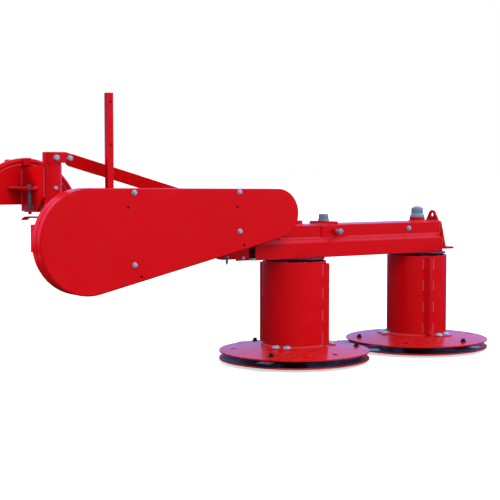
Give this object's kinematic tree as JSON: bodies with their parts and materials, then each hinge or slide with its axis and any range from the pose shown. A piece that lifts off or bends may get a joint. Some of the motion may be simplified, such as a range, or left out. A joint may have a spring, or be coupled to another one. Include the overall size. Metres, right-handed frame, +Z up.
{
  "type": "rotary mower",
  "caption": "Side-mounted drum mower for a tractor's three-point hitch: swing headstock, belt guard, beam, turning drums with cutting discs, free knives, skid dishes and a parking stand.",
  "frame": {"origin": "on the floor under the inner drum's axis, on the sole of the inner skid dish", "axes": "+X out along the beam away from the tractor, +Y the direction of travel, +Z up"},
  "size_m": [2.026, 0.6012, 0.894],
  "materials": {
    "red_paint": "gloss paint",
    "zinc_plate": "zinc plated",
    "shaft_steel": "bare machined",
    "dish_paint": "paint worn to steel underneath",
    "knife_steel": "hardened",
    "holder_steel": "dark",
    "black_pin": "black oxide"
  },
  "bodies": {
    "headstock": {"arch_web": "red_paint", "arch_bar": "red_paint", "hitch_leg_left": "red_paint", "hitch_leg_right": "red_paint", "lower_link_pin_left": "zinc_plate", "lower_link_pin_right": "zinc_plate", "top_link_ears": "red_paint", "apex_lug": "red_paint", "post_bracket": "red_paint", "hinge_post": "red_paint", "lock_screw": "zinc_plate"},
    "mower_frame": {"post_strap": "red_paint", "brace_bar": "red_paint", "hinge_sleeve": "red_paint", "latch_plate": "red_paint", "frame_arm": "red_paint", "guard_base": "red_paint", "guard_cover": "red_paint", "guard_spacers": "red_paint", "beam_bracket": "red_paint", "gear_housing": "red_paint", "input_housing": "red_paint", "beam_channel": "red_paint", "beam_box": "red_paint", "beam_end_plate": "red_paint", "idler_plate": "red_paint", "tension_pad": "red_paint", "tension_bolt": "zinc_plate", "axle_inner": "zinc_plate", "axle_outer": "zinc_plate", "axle_boss_inner": "red_paint", "axle_boss_outer": "red_paint", "axle_nut_outer": "zinc_plate", "idler_nut": "zinc_plate", "beam_tie": "zinc_plate", "stand_socket": "red_paint"},
    "rotor_inner": {"drum_inner": "red_paint", "disc_inner": "red_paint", "knife_holders_inner": "holder_steel", "knife_pins_inner": "black_pin"},
    "rotor_outer": {"drum_outer": "red_paint", "disc_outer": "red_paint", "knife_holders_outer": "holder_steel", "knife_pins_outer": "black_pin"},
    "skid_inner": {"skid_dish_inner": "dish_paint"},
    "skid_outer": {"skid_dish_outer": "dish_paint"},
    "stand": {"stand_leg": "red_paint"},
    "input": {"input_shaft": "shaft_steel"},
    "knife_inner_1_body": {"knife_inner_1": "knife_steel"},
    "knife_inner_2_body": {"knife_inner_2": "knife_steel"},
    "knife_inner_3_body": {"knife_inner_3": "knife_steel"},
    "knife_outer_1_body": {"knife_outer_1": "knife_steel"},
    "knife_outer_2_body": {"knife_outer_2": "knife_steel"},
    "knife_outer_3_body": {"knife_outer_3": "knife_steel"}
  },
  "joints": [
    {"name": "swing", "type": "hinge", "parent": "headstock", "child": "mower_frame", "pos_m": [-0.89, 0.03, 0.6], "axis": [0, 0, -1], "range_deg": [0, 90]},
    {"name": "stand_slide", "type": "slide", "parent": "mower_frame", "child": "stand", "axis": [0, 0, -1], "range_m": [0, 0.307]},
    {"name": "input_spin", "type": "hinge", "parent": "mower_frame", "child": "input", "pos_m": [-0.852, 0, 0.446], "axis": [0, 1, 0], "continuous": true},
    {"name": "drum_inner_spin", "type": "hinge", "parent": "mower_frame", "child": "rotor_inner", "pos_m": [0, 0, 0.2], "axis": [0, 0, 1], "continuous": true},
    {"name": "dish_inner_spin", "type": "hinge", "parent": "mower_frame", "child": "skid_inner", "pos_m": [0, 0, 0.01], "axis": [0, 0, 1], "continuous": true},
    {"name": "drum_outer_spin", "type": "hinge", "parent": "mower_frame", "child": "rotor_outer", "pos_m": [0.56, 0, 0.2], "axis": [0, 0, 1], "continuous": true},
    {"name": "dish_outer_spin", "type": "hinge", "parent": "mower_frame", "child": "skid_outer", "pos_m": [0.56, 0, 0.01], "axis": [0, 0, 1], "continuous": true},
    {"name": "knife_inner_1_swing", "type": "hinge", "parent": "rotor_inner", "child": "knife_inner_1_body", "pos_m": [0.19773, -0.09644, 0.033], "axis": [0, 0, 1], "range_deg": [-120, 120]},
    {"name": "knife_inner_2_swing", "type": "hinge", "parent": "rotor_inner", "child": "knife_inner_2_body", "pos_m": [-0.01535, 0.21946, 0.033], "axis": [0, 0, 1], "range_deg": [-120, 120]},
    {"name": "knife_inner_3_swing", "type": "hinge", "parent": "rotor_inner", "child": "knife_inner_3_body", "pos_m": [-0.18239, -0.12302, 0.033], "axis": [0, 0, 1], "range_deg": [-120, 120]},
    {"name": "knife_outer_1_swing", "type": "hinge", "parent": "rotor_outer", "child": "knife_outer_1_body", "pos_m": [0.73336, 0.13545, 0.033], "axis": [0, 0, 1], "range_deg": [-120, 120]},
    {"name": "knife_outer_2_swing", "type": "hinge", "parent": "rotor_outer", "child": "knife_outer_2_body", "pos_m": [0.35602, 0.08241, 0.033], "axis": [0, 0, 1], "range_deg": [-120, 120]},
    {"name": "knife_outer_3_swing", "type": "hinge", "parent": "rotor_outer", "child": "knife_outer_3_body", "pos_m": [0.59062, -0.21786, 0.033], "axis": [0, 0, 1], "range_deg": [-120, 120]}
  ],
  "couplings": [
    {"joint": "drum_outer_spin", "follows": "drum_inner_spin", "ratio": -1},
    {"joint": "input_spin", "follows": "drum_inner_spin", "ratio": 0.34}
  ]
}
